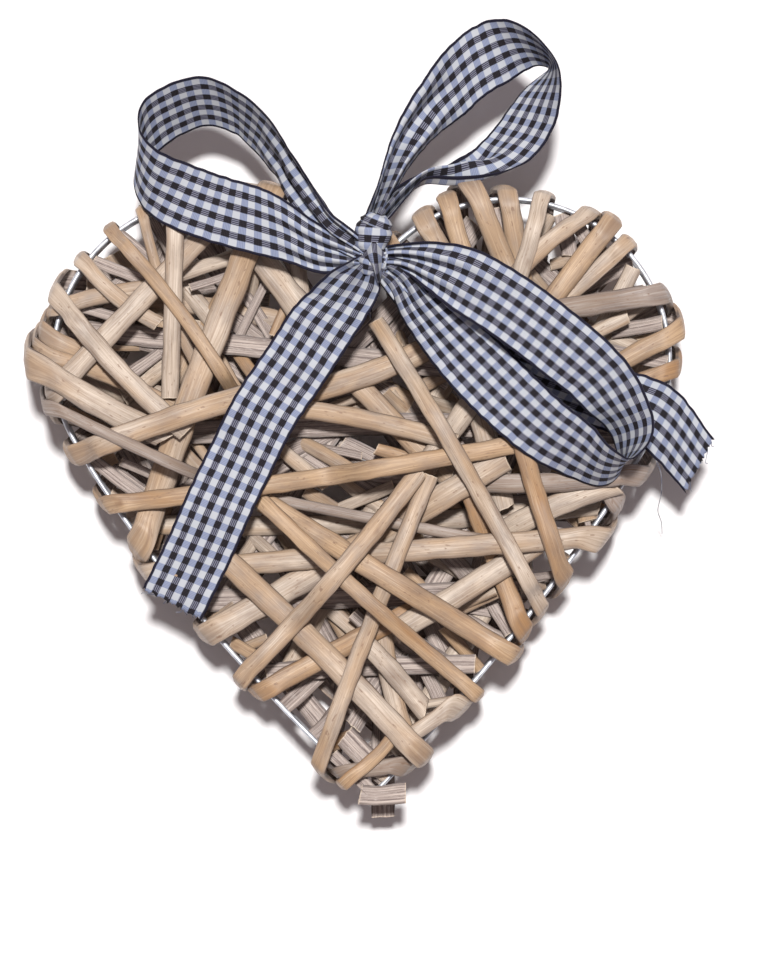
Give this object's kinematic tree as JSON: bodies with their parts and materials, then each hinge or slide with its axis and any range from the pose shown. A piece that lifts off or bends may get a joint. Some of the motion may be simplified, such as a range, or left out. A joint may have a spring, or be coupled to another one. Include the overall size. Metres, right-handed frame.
{
  "type": "woven willow heart",
  "caption": "Wall or window heart woven from split willow strips folded round a double wire frame, with a gingham ribbon bow and a ribbon hanging loop at its notch.",
  "frame": {"origin": "bottom centre of the bounding box, with the heart lying on its back", "axes": "+X to the heart's right seen from the front, +Y from the tip towards the hanging loop, +Z out of the front"},
  "size_m": [0.1992, 0.2318, 0.0574],
  "materials": {
    "galvanised_wire": "dull zinc",
    "willow_cream": "peeled, satin",
    "willow_honey": "peeled, satin",
    "willow_grey": "rough split side",
    "gingham_ribbon": "woven, matt"
  },
  "bodies": {
    "root": {"front_wire_heart": "galvanised_wire", "back_wire_heart": "galvanised_wire", "spacer_wire": "galvanised_wire", "tip_tail": "willow_grey", "willow_strip_01": "willow_cream", "willow_strip_02": "willow_cream", "willow_strip_03": "willow_cream", "willow_strip_04": "willow_cream", "willow_strip_05": "willow_cream", "willow_strip_06": "willow_cream", "willow_strip_07": "willow_cream", "willow_strip_08": "willow_cream", "willow_strip_09": "willow_cream", "willow_strip_10": "willow_cream", "willow_strip_11": "willow_cream", "willow_strip_12": "willow_grey", "willow_strip_13": "willow_cream", "willow_strip_14": "willow_honey", "willow_strip_15": "willow_cream", "willow_strip_16": "willow_honey", "willow_strip_17": "willow_cream", "willow_strip_18": "willow_cream", "willow_strip_19": "willow_cream", "willow_strip_20": "willow_cream", "willow_strip_21": "willow_cream", "willow_strip_22": "willow_honey", "willow_strip_23": "willow_cream", "willow_strip_24": "willow_grey", "willow_strip_25": "willow_honey", "willow_strip_26": "willow_honey", "willow_strip_27": "willow_grey", "willow_strip_28": "willow_cream", "willow_strip_29": "willow_honey", "willow_strip_30": "willow_honey", "willow_strip_31": "willow_cream", "willow_strip_32": "willow_cream", "willow_strip_33": "willow_cream", "willow_strip_34": "willow_cream", "willow_strip_35": "willow_cream", "willow_strip_36": "willow_grey", "willow_strip_37": "willow_cream", "willow_strip_38": "willow_cream", "willow_strip_39": "willow_honey", "willow_strip_40": "willow_cream", "willow_strip_41": "willow_cream", "willow_strip_42": "willow_grey", "willow_strip_43": "willow_cream", "willow_strip_44": "willow_cream", "willow_strip_45": "willow_grey", "willow_strip_46": "willow_honey", "willow_strip_47": "willow_cream", "willow_strip_48": "willow_cream", "willow_strip_49": "willow_honey", "willow_strip_50": "willow_honey", "willow_strip_51": "willow_cream", "willow_strip_52": "willow_honey", "willow_strip_53": "willow_cream", "willow_strip_54": "willow_honey", "ribbon_bow": "gingham_ribbon", "hanging_ribbon": "gingham_ribbon"}
  },
  "joints": []
}
